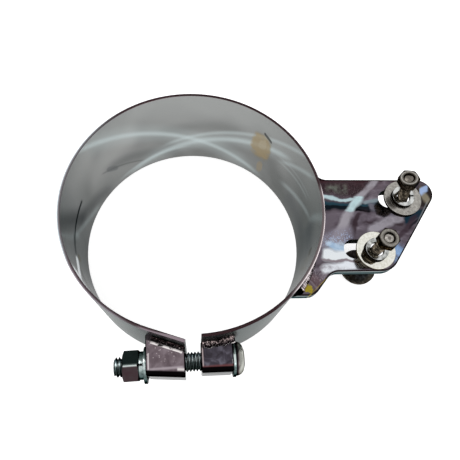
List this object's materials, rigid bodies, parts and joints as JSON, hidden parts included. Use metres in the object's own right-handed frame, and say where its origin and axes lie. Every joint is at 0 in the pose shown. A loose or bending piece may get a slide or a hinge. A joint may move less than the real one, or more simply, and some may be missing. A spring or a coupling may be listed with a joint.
{
  "type": "exhaust bracket clamp",
  "caption": "Wide split band for an exhaust stack, closed by a bolt through welded lugs, with a flat slotted bracket plate welded to its side and its loose mounting bolts.",
  "frame": {"origin": "on the band's axis, half way up the strip", "axes": "+Z along the band's axis, away from the surface that it stands on; +X towards the slotted end of the bracket plate; the band's gap and closing bolt are on the -Y side"},
  "size_m": [0.2045, 0.1468, 0.062],
  "materials": {
    "rolled_stainless": "smooth rolled, inside mid grey",
    "chrome": "mirror",
    "weld": "plated over the ripples",
    "plated_steel": "bright plated",
    "dark_plated_steel": "dull plated"
  },
  "bodies": {
    "clamp": {"clamp_band": "rolled_stainless", "nut_lug": "chrome", "head_lug": "chrome", "nut_lug_top_weld": "weld", "nut_lug_bottom_weld": "weld", "head_lug_top_weld": "weld", "head_lug_bottom_weld": "weld", "bracket_plate": "chrome", "bracket_top_weld": "weld", "bracket_bottom_weld": "weld", "closing_bolt": "plated_steel", "closing_head_washer": "plated_steel"},
    "closing_washers": {"closing_flat_washer": "plated_steel", "closing_lock_washer": "plated_steel"},
    "closing_nut": {"closing_nut": "dark_plated_steel"},
    "inboard_upper_washers": {"inboard_flat_washer": "plated_steel", "inboard_lock_washer": "plated_steel"},
    "inboard_lower_washer": {"inboard_lower_washer": "plated_steel"},
    "inboard_bolt": {"inboard_bolt": "dark_plated_steel"},
    "inboard_nut": {"inboard_nut": "dark_plated_steel"},
    "outboard_upper_washers": {"outboard_flat_washer": "plated_steel", "outboard_lock_washer": "plated_steel"},
    "outboard_lower_washer": {"outboard_lower_washer": "plated_steel"},
    "outboard_bolt": {"outboard_bolt": "dark_plated_steel"},
    "outboard_nut": {"outboard_nut": "dark_plated_steel"}
  },
  "joints": [
    {"name": "closing_back_off", "type": "slide", "parent": "clamp", "child": "closing_washers", "axis": [-0.999, -0.0454, 0], "range_m": [0, 0.0031]},
    {"name": "closing_nut_turn", "type": "hinge", "parent": "closing_washers", "child": "closing_nut", "pos_m": [-0.00075, -0.072, 0], "axis": [-0.999, -0.0454, 0], "range_deg": [0, 702]},
    {"name": "inboard_along_slot", "type": "slide", "parent": "clamp", "child": "inboard_upper_washers", "axis": [1, 0, 0], "range_m": [-0.0134, 0.0043]},
    {"name": "inboard_lift", "type": "slide", "parent": "inboard_upper_washers", "child": "inboard_lower_washer", "axis": [0, 0, 1], "range_m": [0, 0.0214]},
    {"name": "inboard_bolt_turn", "type": "hinge", "parent": "inboard_lower_washer", "child": "inboard_bolt", "pos_m": [0.0989, -0.0165, 0], "axis": [0, 0, 1], "range_deg": [0, 4000]},
    {"name": "inboard_nut_travel", "type": "slide", "parent": "inboard_lower_washer", "child": "inboard_nut", "axis": [0, 0, 1], "range_m": [-0.01112, 0]},
    {"name": "outboard_along_slot", "type": "slide", "parent": "clamp", "child": "outboard_upper_washers", "axis": [1, 0, 0], "range_m": [-0.0104, 0.0058]},
    {"name": "outboard_lift", "type": "slide", "parent": "outboard_upper_washers", "child": "outboard_lower_washer", "axis": [-0.196, 0.1531, 0.9686], "range_m": [0, 0.017]},
    {"name": "outboard_bolt_turn", "type": "hinge", "parent": "outboard_lower_washer", "child": "outboard_bolt", "pos_m": [0.1206, 0.0145, 0], "axis": [-0.196, 0.1531, 0.9686], "range_deg": [0, 3600]},
    {"name": "outboard_nut_travel", "type": "slide", "parent": "outboard_lower_washer", "child": "outboard_nut", "axis": [-0.196, 0.1531, 0.9686], "range_m": [-0.01001, 0]}
  ],
  "couplings": [
    {"joint": "closing_back_off", "follows": "closing_nut_turn", "m_per_rad": 0.00025266},
    {"joint": "inboard_nut_travel", "follows": "inboard_bolt_turn", "m_per_rad": -0.00015915},
    {"joint": "outboard_nut_travel", "follows": "outboard_bolt_turn", "m_per_rad": -0.00015915}
  ]
}
